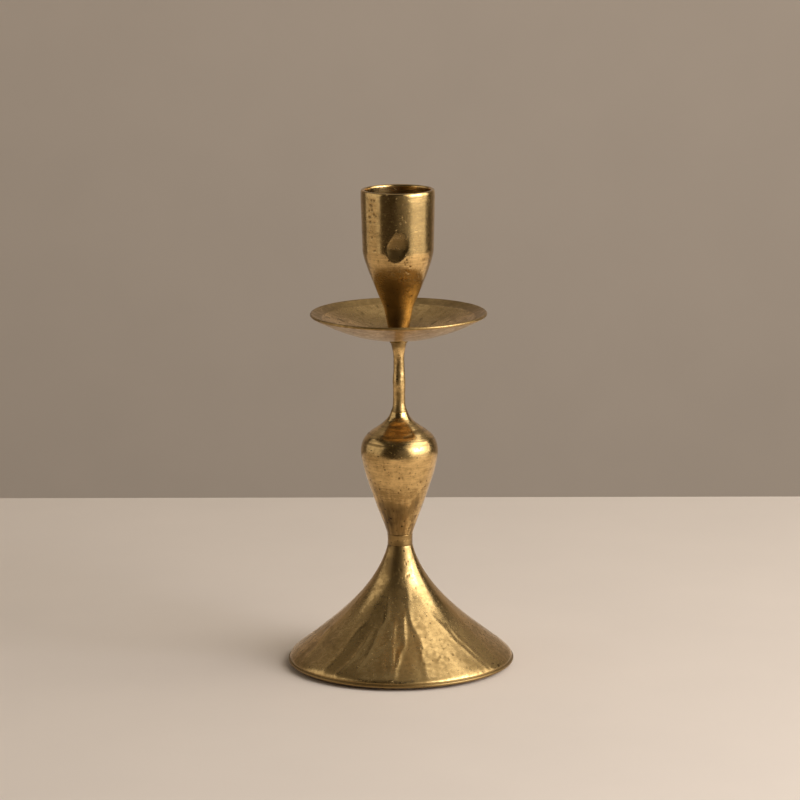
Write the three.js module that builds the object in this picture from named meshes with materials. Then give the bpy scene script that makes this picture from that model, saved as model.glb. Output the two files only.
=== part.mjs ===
// A cast brass candlestick, drawn in millimetres with +Z up and the origin at the middle of the
// foot's underside. Seven turned or cast pieces stand on one another, and three threads hold the
// stack: a tenon at each end of the stem and a stud that pulls the knop down on the foot.
import * as THREE from 'three';

// Overall sizes of the visible pieces, from the table upwards
const FOOT_RADIUS = 40;
const FOOT_HEIGHT = 43;
const NECK_COLLAR_HEIGHT = 3.9;
const KNOP_HEIGHT = 43.9;
const KNOP_RADIUS = 13.6;
const STEM_LENGTH = 24.5;
const PAN_COLLAR_HEIGHT = 1.5;
const PAN_THICKNESS = 1.1;
const PAN_RADIUS = 30.93;
const CUP_HEIGHT = 51.5;
const CUP_RADIUS = 12.92;
const CANDLE_BORE_RADIUS = 11.5;

// Radii where one piece meets the next, so that the outline runs on without a step
const NECK_RADIUS = 4.4;
const KNOP_FOOT_RADIUS = 4.5;
const KNOP_TOP_RADIUS = 2.95;
const STEM_HEAD_RADIUS = 2.8;
const PAN_COLLAR_RADIUS = 3.2;
const CUP_FOOT_RADIUS = 3.4;

// Fastenings: M4 tenons on the stem, an M5 stud through the foot
const TENON_RADIUS = 2;
const STUD_RADIUS = 2.5;
const CLEARANCE = 0.3;
const CHAMFER = 0.4;
const DRILL_POINT = Math.tan(THREE.MathUtils.degToRad(31));

// Where each piece sits
const NECK_SEAT = FOOT_HEIGHT;
const KNOP_SEAT = NECK_SEAT + NECK_COLLAR_HEIGHT;
const STEM_SEAT = KNOP_SEAT + KNOP_HEIGHT;
const COLLAR_SEAT = STEM_SEAT + STEM_LENGTH;
const PAN_SEAT = COLLAR_SEAT + PAN_COLLAR_HEIGHT;
const CUP_SEAT = PAN_SEAT + PAN_THICKNESS;

// Threads and the hardware under the foot's ceiling
const FOOT_CEILING = 28.4;
const WASHER_THICKNESS = 1.2;
const LOCK_WASHER_THICKNESS = 1.3;
const NUT_HEIGHT = 4;
const NUT_FLATS = 8;
const STUD_BELOW_NUT = 2.4;
const STUD_IN_KNOP = 11.2;
const TENON_IN_CUP = 7.6;
const TENON_IN_KNOP = 10;
const HOLE_SPARE = 1;
const WASHER_SEAT = FOOT_CEILING - WASHER_THICKNESS;
const LOCK_WASHER_SEAT = WASHER_SEAT - LOCK_WASHER_THICKNESS;
const NUT_SEAT = LOCK_WASHER_SEAT - NUT_HEIGHT;
const STUD_SEAT = NUT_SEAT - STUD_BELOW_NUT;

// Sides of a turned piece, by its size
const SIDES_LARGE = 48;
const SIDES_MEDIUM = 40;
const SIDES_SMALL = 20;

const brass = new THREE.MeshStandardMaterial({ color: 0xb28f52, metalness: 1, roughness: 0.34 });
const brassRod = new THREE.MeshStandardMaterial({ color: 0xb8975a, metalness: 1, roughness: 0.3 });
const zincSteel = new THREE.MeshStandardMaterial({ color: 0xb4b6b4, metalness: 1, roughness: 0.42 });

/** Points of an outline: each is a radius and a height. */
function corners(...pairs) {
  return pairs.map(([radius, height]) => new THREE.Vector2(radius, height));
}

/** A stretch of outline bent between four points, cut into a number of steps. */
function bend(steps, ...pairs) {
  return new THREE.CubicBezierCurve(...corners(...pairs)).getPoints(steps);
}

/** A stretch of outline bent round one corner point, cut into a number of steps. */
function round(steps, ...pairs) {
  return new THREE.QuadraticBezierCurve(...corners(...pairs)).getPoints(steps);
}

/** A smooth stretch of outline through every point given. */
function through(steps, ...pairs) {
  return new THREE.SplineCurve(corners(...pairs)).getPoints(steps);
}

/** Turns an outline about +Z. The outline runs anticlockwise, with the metal on its left. */
function turned(outline, sides) {
  const points = outline.filter((point, i) => i === 0 || point.distanceTo(outline[i - 1]) > 1e-6);
  const geometry = new THREE.LatheGeometry(points, sides);
  geometry.rotateX(Math.PI / 2);
  return geometry;
}

/** A flat ring with its two outer edges eased, standing on its seat. */
function turnedRing(outerRadius, holeRadius, height, edge, sides) {
  return turned(corners(
    [holeRadius, 0],
    [outerRadius - edge, 0],
    [outerRadius, edge],
    [outerRadius, height - edge],
    [outerRadius - edge, height],
    [holeRadius, height],
    [holeRadius, 0],
  ), sides);
}

/** A shape extruded upwards from its seat. */
function extruded(shape, height, curveSegments) {
  return new THREE.ExtrudeGeometry(shape, { depth: height, bevelEnabled: false, curveSegments });
}

/** The flared foot: a thin shell with an undercut lip, and a solid neck that the stud goes through. */
function footGeometry() {
  const restInner = 33.4;
  const restOuter = 35.6;
  const undercut = [39.4, 1.05];
  const groove = [39.45, 2.5];
  const hole = STUD_RADIUS + CLEARANCE;
  return turned([
    ...corners([restInner, 0], [restOuter, 0]),
    ...round(3, undercut, [FOOT_RADIUS, 1.2], [FOOT_RADIUS, 1.65]),
    ...corners([FOOT_RADIUS, 2.05]),
    ...bend(13, groove, [39.45, 5.6], [9.4, 21.5], [NECK_RADIUS, FOOT_HEIGHT]),
    ...corners([hole, FOOT_HEIGHT], [hole, FOOT_CEILING]),
    ...bend(8, [9.7, FOOT_CEILING], [21.5, 13], [32.4, 7.2], [33.7, 4.2]),
    ...corners([restInner, 0]),
  ], SIDES_LARGE);
}

/** The plain collar between the foot and the knop, very slightly waisted. */
function neckCollarGeometry() {
  const hole = STUD_RADIUS + CLEARANCE;
  const edge = 0.15;
  return turned([
    ...corners([hole, 0]),
    ...corners([NECK_RADIUS - edge, 0]),
    ...round(4, [NECK_RADIUS, edge], [4.3, 1.9], [KNOP_FOOT_RADIUS, NECK_COLLAR_HEIGHT - edge]),
    ...corners([KNOP_FOOT_RADIUS - edge, NECK_COLLAR_HEIGHT]),
    ...corners([hole, NECK_COLLAR_HEIGHT], [hole, 0]),
  ], SIDES_SMALL);
}

/** The solid pear-shaped knop, drilled from below for the stud and from above for the stem. */
function knopGeometry() {
  const studHole = STUD_RADIUS + CLEARANCE;
  const studDepth = STUD_IN_KNOP + HOLE_SPARE;
  const tenonHole = TENON_RADIUS + CLEARANCE;
  const tenonDepth = KNOP_HEIGHT - TENON_IN_KNOP - HOLE_SPARE;
  const widest = 29.5;
  return turned([
    ...corners([0, studDepth + studHole * DRILL_POINT], [studHole, studDepth], [studHole, 0]),
    ...round(4, [KNOP_FOOT_RADIUS, 0], [4.9, 2.1], [7.3, 8.1]),
    ...bend(8, [7.3, 8.1], [10.4, 16.1], [KNOP_RADIUS, 26.3], [KNOP_RADIUS, widest]),
    ...bend(10, [KNOP_RADIUS, widest], [KNOP_RADIUS, 38.3], [5, 37.2], [KNOP_TOP_RADIUS, KNOP_HEIGHT]),
    ...corners([tenonHole, KNOP_HEIGHT], [tenonHole, tenonDepth]),
    ...corners([0, tenonDepth - tenonHole * DRILL_POINT]),
  ], SIDES_MEDIUM);
}

/** The thin stem, drawn by hand so that it swells at mid height, with a threaded tenon at each end. */
function stemGeometry() {
  const top = STEM_LENGTH + PAN_COLLAR_HEIGHT + PAN_THICKNESS + TENON_IN_CUP;
  return turned([
    ...corners([0, -TENON_IN_KNOP], [TENON_RADIUS - CHAMFER, -TENON_IN_KNOP]),
    ...corners([TENON_RADIUS, CHAMFER - TENON_IN_KNOP], [TENON_RADIUS, 0]),
    ...through(
      15,
      [2.9, 0],
      [2.41, 1.2],
      [2.12, 3.4],
      [2.16, 7.2],
      [2.22, 11.2],
      [1.95, 15.2],
      [1.86, 18.2],
      [2.06, 21.2],
      [STEM_HEAD_RADIUS, STEM_LENGTH],
    ),
    ...corners([TENON_RADIUS, STEM_LENGTH], [TENON_RADIUS, top - CHAMFER]),
    ...corners([TENON_RADIUS - CHAMFER, top], [0, top]),
  ], SIDES_SMALL);
}

/** The drip pan: a dish of even wall with a flat middle and a rounded rim. */
function dripPanGeometry() {
  const hole = TENON_RADIUS + CLEARANCE;
  const flat = 4;
  const rimSlope = THREE.MathUtils.degToRad(27.7);
  const edge = PAN_THICKNESS / 2;
  const rim = new THREE.Vector2(PAN_RADIUS - edge, 8.7);
  const rimArc = new THREE.EllipseCurve(
    rim.x, rim.y, edge, edge, rimSlope - Math.PI / 2, rimSlope + Math.PI / 2,
  ).getPoints(6);
  const underside = rimArc[0];
  const topside = rimArc[rimArc.length - 1];
  const bendAt = (end, height) => end.x - (end.y - height) / Math.tan(rimSlope);
  return turned([
    ...corners([hole, 0]),
    ...round(8, [flat, 0], [bendAt(underside, 0), 0], underside.toArray()),
    ...rimArc,
    ...round(
      8,
      topside.toArray(),
      [bendAt(topside, PAN_THICKNESS), PAN_THICKNESS],
      [flat, PAN_THICKNESS],
    ),
    ...corners([hole, PAN_THICKNESS], [hole, 0]),
  ], SIDES_LARGE);
}

/** The candle cup: a slim tapering foot, a swelling bowl and a bore that narrows to a flat floor. */
function candleCupGeometry() {
  const hole = TENON_RADIUS + CLEARANCE;
  const holeDepth = TENON_IN_CUP + HOLE_SPARE;
  const floor = 23.1;
  const kink = [5.2, 10];
  const swell = [12.5, 33.1];
  return turned([
    ...corners([0, holeDepth + hole * DRILL_POINT], [hole, holeDepth], [hole, 0]),
    ...round(3, [CUP_FOOT_RADIUS, 0], [4.1, 5.3], kink),
    ...bend(10, kink, [6.1, 12.5], [13.06, 26.9], swell),
    ...corners([CUP_RADIUS, 48.1]),
    ...round(3, [CUP_RADIUS, 50.6], [CUP_RADIUS, CUP_HEIGHT], [12.3, CUP_HEIGHT]),
    ...round(2, [12, CUP_HEIGHT], [CANDLE_BORE_RADIUS + 0.1, CUP_HEIGHT], [CANDLE_BORE_RADIUS, 50.9]),
    ...round(4, [CANDLE_BORE_RADIUS, 31.1], [11.2, 28], [9.4, 24.3]),
    ...round(2, [9.4, 24.3], [8.8, floor], [7.8, floor]),
    ...corners([0, floor]),
  ], SIDES_MEDIUM);
}

/** The stud: a plain threaded rod with chamfered ends. */
function studGeometry() {
  const length = KNOP_SEAT + STUD_IN_KNOP - STUD_SEAT;
  return turned(corners(
    [0, 0],
    [STUD_RADIUS - CHAMFER, 0],
    [STUD_RADIUS, CHAMFER],
    [STUD_RADIUS, length - CHAMFER],
    [STUD_RADIUS - CHAMFER, length],
    [0, length],
  ), SIDES_SMALL);
}

/** The lock washer: one turn of square wire with a gap between its ends. */
function lockWasherGeometry() {
  const inner = STUD_RADIUS + CLEARANCE;
  const outer = 4.4;
  const gap = THREE.MathUtils.degToRad(22);
  const shape = new THREE.Shape();
  shape.absarc(0, 0, outer, gap / 2, -gap / 2, false);
  shape.absarc(0, 0, inner, -gap / 2, gap / 2, true);
  shape.closePath();
  return extruded(shape, LOCK_WASHER_THICKNESS, 12);
}

/** The hexagon nut, with a clear hole where its thread runs. */
function nutGeometry() {
  const cornerRadius = NUT_FLATS / 2 / Math.cos(Math.PI / 6);
  const shape = new THREE.Shape(Array.from({ length: 6 }, (_, i) => {
    const angle = (i * Math.PI) / 3;
    return new THREE.Vector2(cornerRadius * Math.cos(angle), cornerRadius * Math.sin(angle));
  }));
  const hole = new THREE.Path();
  hole.absarc(0, 0, STUD_RADIUS + CLEARANCE, 0, 2 * Math.PI, true);
  shape.holes.push(hole);
  return extruded(shape, NUT_HEIGHT, 9);
}

const candlestick = new THREE.Group();

/** Adds one piece to the stack, standing on its seat. */
function place(name, geometry, material, seat) {
  const piece = new THREE.Mesh(geometry, material);
  piece.name = name;
  piece.position.z = seat;
  candlestick.add(piece);
}

const washerHole = STUD_RADIUS + CLEARANCE;
const collarHole = TENON_RADIUS + CLEARANCE;
place('foot', footGeometry(), brass, 0);
place('neck_collar', neckCollarGeometry(), brass, NECK_SEAT);
place('knop', knopGeometry(), brass, KNOP_SEAT);
place('stem', stemGeometry(), brassRod, STEM_SEAT);
place(
  'pan_collar',
  turnedRing(PAN_COLLAR_RADIUS, collarHole, PAN_COLLAR_HEIGHT, 0.25, SIDES_SMALL),
  brassRod,
  COLLAR_SEAT,
);
place('drip_pan', dripPanGeometry(), brass, PAN_SEAT);
place('candle_cup', candleCupGeometry(), brass, CUP_SEAT);
place('tie_stud', studGeometry(), zincSteel, STUD_SEAT);
place('foot_nut', nutGeometry(), zincSteel, NUT_SEAT);
place('lock_washer', lockWasherGeometry(), zincSteel, LOCK_WASHER_SEAT);
place(
  'foot_washer',
  turnedRing(7, washerHole, WASHER_THICKNESS, 0.2, SIDES_SMALL),
  zincSteel,
  WASHER_SEAT,
);

export default candlestick;
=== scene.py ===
"""Finished surfaces for a brass candlestick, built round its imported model.

Every piece is a surface of turning: an outline of radius and height carried round the upright axis,
then moved along its own normal by a relief worked out for each point from its angle and its distance
along the outline. Outlines and reliefs are in millimetres; meshes are in metres. Angles run
anticlockwise from +X as seen from above, so -90 degrees is the front.
"""

import math

import bpy
import numpy as np
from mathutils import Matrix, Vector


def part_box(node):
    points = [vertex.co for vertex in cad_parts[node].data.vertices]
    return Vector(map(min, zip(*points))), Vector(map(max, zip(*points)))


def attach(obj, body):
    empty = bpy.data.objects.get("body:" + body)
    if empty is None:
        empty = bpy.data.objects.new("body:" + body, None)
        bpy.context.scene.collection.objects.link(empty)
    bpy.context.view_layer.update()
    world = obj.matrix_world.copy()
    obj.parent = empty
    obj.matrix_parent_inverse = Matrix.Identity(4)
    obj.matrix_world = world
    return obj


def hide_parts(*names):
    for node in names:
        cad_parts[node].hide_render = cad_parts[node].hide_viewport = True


bl_info = {
    "name": "Brass Candlestick",
    "version": (1, 0, 0),
    "blender": (4, 5, 0),
    "location": "View3D > Sidebar > Candlestick",
    "description": "Builds the cast, turned and threaded pieces of a brass candlestick",
    "category": "Object",
}

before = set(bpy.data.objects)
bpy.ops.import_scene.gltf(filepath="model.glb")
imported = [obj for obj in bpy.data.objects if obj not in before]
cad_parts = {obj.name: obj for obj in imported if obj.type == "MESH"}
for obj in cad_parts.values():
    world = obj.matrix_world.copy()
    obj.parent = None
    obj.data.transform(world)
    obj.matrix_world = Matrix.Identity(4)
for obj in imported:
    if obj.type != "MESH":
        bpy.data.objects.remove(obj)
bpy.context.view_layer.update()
MM = 0.001
FULL_TURN = 2 * math.pi


def node_size(node):
    """Radius, height and seat of a CAD node, in millimetres."""
    low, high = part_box(node)
    return high.x / MM, (high.z - low.z) / MM, low.z / MM


FOOT_RADIUS, FOOT_HEIGHT, _ = node_size("foot")
PAN_RADIUS, _, PAN_SEAT = node_size("drip_pan")
CUP_RADIUS, CUP_HEIGHT, CUP_SEAT = node_size("candle_cup")
KNOP_RADIUS, KNOP_HEIGHT, KNOP_SEAT = node_size("knop")
_, NECK_COLLAR_HEIGHT, NECK_SEAT = node_size("neck_collar")
PAN_COLLAR_RADIUS, PAN_COLLAR_HEIGHT, PAN_COLLAR_SEAT = node_size("pan_collar")
STUD_RADIUS, STUD_LENGTH, STUD_SEAT = node_size("tie_stud")
STEM_SEAT = KNOP_SEAT + KNOP_HEIGHT
STEM_LENGTH = PAN_COLLAR_SEAT - STEM_SEAT
PAN_THICKNESS = CUP_SEAT - PAN_SEAT

THREAD_ROOM = 0.3
STUD_HOLE = STUD_RADIUS + THREAD_ROOM
TENON_RADIUS = 2.0
TENON_HOLE = TENON_RADIUS + THREAD_ROOM
M4_PITCH = 0.7
M5_PITCH = 0.8
NUT_ACROSS_FLATS = 8.0
WASHER_EASE = 0.25
SPRING_WASHER_RADIUS = 4.4
SPRING_WASHER_GAP = 22
# A blind hole ends in the cone of a 118 degree drill, this many radii deep.
DRILL_POINT = math.tan(math.radians(31))
# Shortest length, in millimetres, that counts as a length at all.
TINY = 1e-6
# A limit past the end of every piece, in millimetres.
BEYOND = 99

# Sides round the turn, so that no facet is wider than about 0.6 mm.
FOOT_SIDES = 440
PAN_SIDES = 460
KNOP_SIDES = 330
CUP_SIDES = 300
NECK_SIDES = 120
ROD_SIDES = 96
STUD_SIDES = 64

# ---------------------------------------------------------------- settings a user would change


def linear(hex_colour):
    """An sRGB hex colour as linear red, green, blue and alpha."""
    parts = [int(hex_colour[i : i + 2], 16) / 255 for i in (1, 3, 5)]
    return [c / 12.92 if c <= 0.04045 else ((c + 0.055) / 1.055) ** 2.4 for c in parts] + [1.0]


class CandlestickFinish(bpy.types.PropertyGroup):
    """Colours of the metals and how worn they are."""

    clean_brass: bpy.props.FloatVectorProperty(
        name="Clean brass",
        description="Colour of brass that handling keeps bright",
        subtype="COLOR",
        size=3,
        min=0,
        max=1,
        default=linear("#E5C080")[:3],
    )
    aged_brass: bpy.props.FloatVectorProperty(
        name="Aged brass",
        description="Colour of the brown patina between the bright patches",
        subtype="COLOR",
        size=3,
        min=0,
        max=1,
        default=linear("#A2824D")[:3],
    )
    patina: bpy.props.FloatProperty(
        name="Patina",
        description="Share of the surface that the patina covers",
        subtype="FACTOR",
        min=0,
        max=1,
        default=0.45,
    )


class CandlestickRelief(bpy.types.PropertyGroup):
    """Heights of the handmade relief."""

    pleat_height: bpy.props.FloatProperty(
        name="Pleat height",
        description="Height of the soft folds that run down the foot",
        subtype="DISTANCE",
        min=0,
        max=0.001,
        default=0.0003,
    )
    dent_depth: bpy.props.FloatProperty(
        name="Dent depth",
        description="Depth of the thumb-shaped dent in the cup",
        subtype="DISTANCE",
        min=0,
        max=0.0013,
        default=0.0009,
    )


# ---------------------------------------------------------------- outlines


def curve(steps, *controls):
    """Points of a Bezier curve: at share t, control k of n counts C(n, k) t^k (1 - t)^(n - k)."""
    controls = np.array(controls, float)
    degree = len(controls) - 1
    share = np.linspace(0, 1, steps + 1)[:, None]
    weights = [
        math.comb(degree, k) * share**k * (1 - share) ** (degree - k) for k in range(degree + 1)
    ]
    return sum(weight * control for weight, control in zip(weights, controls))


def line(*corners):
    """Straight stretches from corner to corner."""
    return np.array(corners, float)


def through(steps, *points):
    """A smooth curve through every point: on each span, a Catmull-Rom blend of its four neighbours."""
    points = np.array(points, float)
    padded = np.vstack([2 * points[0] - points[1], points, 2 * points[-1] - points[-2]])
    place = np.linspace(0, len(points) - 1, steps + 1)
    span = np.minimum(place.astype(int), len(points) - 2)
    t = (place - span)[:, None]
    before, start, end, after = (padded[span + k] for k in range(4))
    return 0.5 * (
        2 * start
        + (end - before) * t
        + (2 * before - 5 * start + 4 * end - after) * t**2
        + (3 * start - before - 3 * end + after) * t**3
    )


def spaced(gap, points):
    """The same stretch with its points an even distance apart, about one gap, measured along it."""
    along = np.concatenate([[0], np.cumsum(np.linalg.norm(np.diff(points, axis=0), axis=1))])
    count = max(1, math.ceil(along[-1] / gap))
    marks = np.linspace(0, along[-1], count + 1)
    return np.stack([np.interp(marks, along, points[:, i]) for i in (0, 1)], axis=1)


def joined(*stretches):
    """One outline from stretches that meet end to end, without the doubled points."""
    points = np.vstack(stretches)
    keep = np.concatenate([[True], np.linalg.norm(np.diff(points, axis=0), axis=1) > TINY])
    return points[keep]


# ---------------------------------------------------------------- fields on the surface


def eased(share):
    """0 below 0, 1 above 1, and 3t^2 - 2t^3 between."""
    share = np.clip(share, 0, 1)
    return share * share * (3 - 2 * share)


def band(value, low, high, edge):
    """1 between low and high, easing to 0 over one edge outside them."""
    return eased((value - low) / edge + 1) * eased((high - value) / edge + 1)


def lattice(angle, across, lobes, gap, seed):
    """Smooth random heights from -1 to 1: random values at the corners of a grid, eased between.

    The grid has a number of lobes round the turn, where it closes on itself, and one row per gap.
    It starts some rows before zero, so distances below zero fall on it too.
    """
    rows = 512
    rows_before_zero = 64
    table = np.random.default_rng(seed).uniform(-1, 1, (lobes, rows))
    column = (angle / FULL_TURN % 1) * lobes
    row = across / gap + rows_before_zero
    i = np.floor(column).astype(int)
    j = np.floor(row).astype(int)
    s = eased(column - i)
    t = eased(row - j)
    i = i % lobes
    right = (i + 1) % lobes
    return (
        table[i, j] * (1 - s) * (1 - t)
        + table[right, j] * s * (1 - t)
        + table[i, j + 1] * (1 - s) * t
        + table[right, j + 1] * s * t
    )


def rough(angle, across, lobes, gap, seed, layers=4):
    """Layers of the random field, each twice as fine and a little over half as high as the last."""
    total = 0
    for k in range(layers):
        total = total + 0.55**k * lattice(angle, across, lobes * 2**k, gap / 2**k, seed + k)
    return total


def pits(field, places):
    """Round hollows: each is depth times e^-(distance / radius)^4, measured on the surface."""
    total = 0 * field.angle + 0 * field.height
    for degrees, height, radius, depth in places:
        sideways = field.across(degrees)
        distance = (sideways**2 + (field.height - height) ** 2) / radius**2
        total = total - depth * np.exp(-(distance**2))
    return total


def pit_dirt(hollows):
    """Tarnish on the floors of pits, easing in from none at the surface to 0.9 at a full depth."""
    full_depth = 0.1
    return 0.9 * eased(-hollows / full_depth)


def pleats(field, wander, places):
    """Ridges that run down a slope: each is lift times e^-(across / width)^2, eased at both ends.

    A ridge leans by its lean in degrees on the way from its high end to its low end, and wanders.
    """
    total = 0 * field.angle + 0 * field.height
    for degrees, lean, high, low, width, lift in places:
        middle = degrees + lean * (high - field.height) / (high - low) + np.degrees(wander)
        ridge = np.exp(-((field.across(middle) / width) ** 2))
        total = total + lift * ridge * band(field.height, low, high, 0.35 * (high - low))
    return total


def scattered(seed, count, *spans):
    """Random places: each row holds one number from inside each span."""
    draw = np.random.default_rng(seed)
    return np.stack([draw.uniform(low, high, count) for low, high in spans], axis=1)


class Field:
    """Angle, radius, height and distance along the outline at every point of a turned surface."""

    def __init__(self, outline, sides):
        self.angle = (np.arange(sides) * FULL_TURN / sides - math.pi / 2)[None, :]
        self.radius = outline[:, 0][:, None]
        self.height = outline[:, 1][:, None]
        steps = np.linalg.norm(np.diff(outline, axis=0), axis=1)
        self.along = np.concatenate([[0], np.cumsum(steps)])[:, None]

    def across(self, degrees):
        """Distance round the turn from an angle, in millimetres."""
        turn = (self.angle - np.radians(degrees) + math.pi) % FULL_TURN - math.pi
        return turn * self.radius

    def facing(self, degrees):
        """1 on the side that faces an angle, 0 on the side away from it, and a cosine between."""
        return 0.5 + 0.5 * np.cos(self.angle - np.radians(degrees))

    def between(self, start, end):
        """True on the stretch between two distances along the outline."""
        return (self.along > start) & (self.along < end)


# ---------------------------------------------------------------- meshes


def outline_normals(outline, closed):
    """Outward directions of an outline that runs with the metal on its left: the tangent turned right."""
    if closed:
        tangent = np.roll(outline, -1, axis=0) - np.roll(outline, 1, axis=0)
    else:
        tangent = np.gradient(outline, axis=0)
    length = np.linalg.norm(tangent, axis=1)[:, None]
    tangent = tangent / np.maximum(length, TINY)
    return np.stack([tangent[:, 1], -tangent[:, 0]], axis=1)


def turned(outline, sides, seat, relief=None):
    """Vertices, faces and darkening of an outline turned about +Z, the darkening being both real wear and
    painted shade.

    Point (angle, v) is at radius r(v) and height z(v), moved along the outline's normal by the lift
    that relief gives. An outline that ends on the axis is closed by a pole; any other closes on itself.
    """
    poles = outline[0, 0] < TINY
    if not poles and np.allclose(outline[0], outline[-1]):
        outline = outline[:-1]
    field = Field(outline, sides)
    normals = outline_normals(outline, not poles)
    flat = np.zeros((len(outline), sides))
    lift, tarnish_and_shade = (flat, flat) if relief is None else relief(field)
    lift = flat + lift
    tarnish_and_shade = flat + tarnish_and_shade
    radius = field.radius + normals[:, :1] * lift
    height = field.height + normals[:, 1:] * lift + seat
    grid = np.stack([radius * np.cos(field.angle), radius * np.sin(field.angle), height], axis=2)
    if poles:
        grid = grid[1:-1]
        tarnish_and_shade = tarnish_and_shade[1:-1]
    points = grid.reshape(-1, 3)
    tarnish_and_shade = tarnish_and_shade.ravel()
    index = np.arange(len(points)).reshape(-1, sides)
    above = index[1:] if poles else np.roll(index, -1, axis=0)
    below = index[:-1] if poles else index
    quads = np.stack([below, np.roll(below, -1, axis=1), np.roll(above, -1, axis=1), above], axis=2)
    faces = quads.reshape(-1, 4).tolist()
    if poles:
        bottom = len(points)
        top = bottom + 1
        ends = [[0, 0, outline[0, 1] + seat], [0, 0, outline[-1, 1] + seat]]
        points = np.vstack([points, ends])
        tarnish_and_shade = np.append(tarnish_and_shade, [0, 0])
        beside = np.roll(index, -1, axis=1)
        faces += [[bottom, b, a] for a, b in zip(index[0].tolist(), beside[0].tolist())]
        faces += [[top, a, b] for a, b in zip(index[-1].tolist(), beside[-1].tolist())]
    return points, faces, tarnish_and_shade


def add_piece(name, points, faces, tarnish_and_shade, material, slot, *nodes):
    """Makes the mesh object of one piece, in metres, and ties it to the CAD nodes it stands for."""
    mesh = bpy.data.meshes.new(name)
    mesh.from_pydata((np.asarray(points) * MM).tolist(), [], faces)
    mesh.shade_smooth()
    # This attribute carries real wear and painted shade together.
    dark = mesh.attributes.new("tarnish_and_shade", "FLOAT", "POINT")
    dark.data.foreach_set("value", np.asarray(tarnish_and_shade, np.float32))
    mesh.materials.append(material)
    piece = bpy.data.objects.new(name, mesh)
    bpy.context.scene.collection.objects.link(piece)
    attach(piece, "root")
    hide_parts(*nodes)
    return piece


# ---------------------------------------------------------------- materials

NOISE = "ShaderNodeTexNoise"
MATHS = "ShaderNodeMath"
RANGE = "ShaderNodeMapRange"
MIX = "ShaderNodeMix"
EASE = {"interpolation_type": "SMOOTHSTEP"}


def add_node(tree, kind, settings=None, **sockets):
    """Adds a shader node with its settings, fills its sockets with values or links, returns outputs.

    In a socket's name an underscore stands for a space, and "at" with a number picks one by its place.
    """
    node = tree.nodes.new(kind)
    for key, value in (settings or {}).items():
        setattr(node, key, value)
    for key, value in sockets.items():
        socket = node.inputs[int(key[2:]) if key.startswith("at") else key.replace("_", " ")]
        if isinstance(value, bpy.types.NodeSocket):
            tree.links.new(value, socket)
        else:
            socket.default_value = value
    return node.outputs


def new_material(name):
    """A material with an empty surface shader, its node tree and that shader."""
    material = bpy.data.materials.new(name)
    material.use_nodes = True
    tree = material.node_tree
    return material, tree, tree.nodes["Principled BSDF"]


def millimetres(tree, stretch=(1, 1, 1)):
    """The point on the piece in millimetres, stretched by a scale along each axis."""
    place = add_node(tree, "ShaderNodeTexCoord")["Object"]
    return add_node(tree, "ShaderNodeMapping", Vector=place, Scale=[s / MM for s in stretch])[0]


def weighted(tree, *parts):
    """The sum of several values, each times its own weight."""
    total = 0.0
    for value, weight in parts:
        total = add_node(tree, MATHS, {"operation": "MULTIPLY_ADD"}, at0=value, at1=weight, at2=total)[0]
    return total


def pit_spots(tree, point, spacing, radius, share):
    """Ragged spots: 1 within a radius of one random point in each cell, times a share.

    Moving the point by noise about as fine as the spot is what makes its edge ragged.
    """
    ripples = 1.6 / radius
    shift = 1.6 * radius
    ragged = add_node(tree, NOISE, Vector=point, Scale=ripples, Detail=2)["Color"]
    moved = add_node(
        tree, "ShaderNodeVectorMath", {"operation": "MULTIPLY_ADD"},
        at0=ragged, at1=[shift] * 3, at2=point,
    )[0]
    cells = add_node(tree, "ShaderNodeTexVoronoi", Vector=moved, Scale=1 / spacing)["Distance"]
    near = radius / spacing
    spot = add_node(
        tree, RANGE, EASE, Value=cells, From_Min=0.5 * near, From_Max=near, To_Min=1.0, To_Max=0.0
    )[0]
    return add_node(tree, MATHS, {"operation": "MULTIPLY"}, at0=spot, at1=share)[0]


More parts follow.
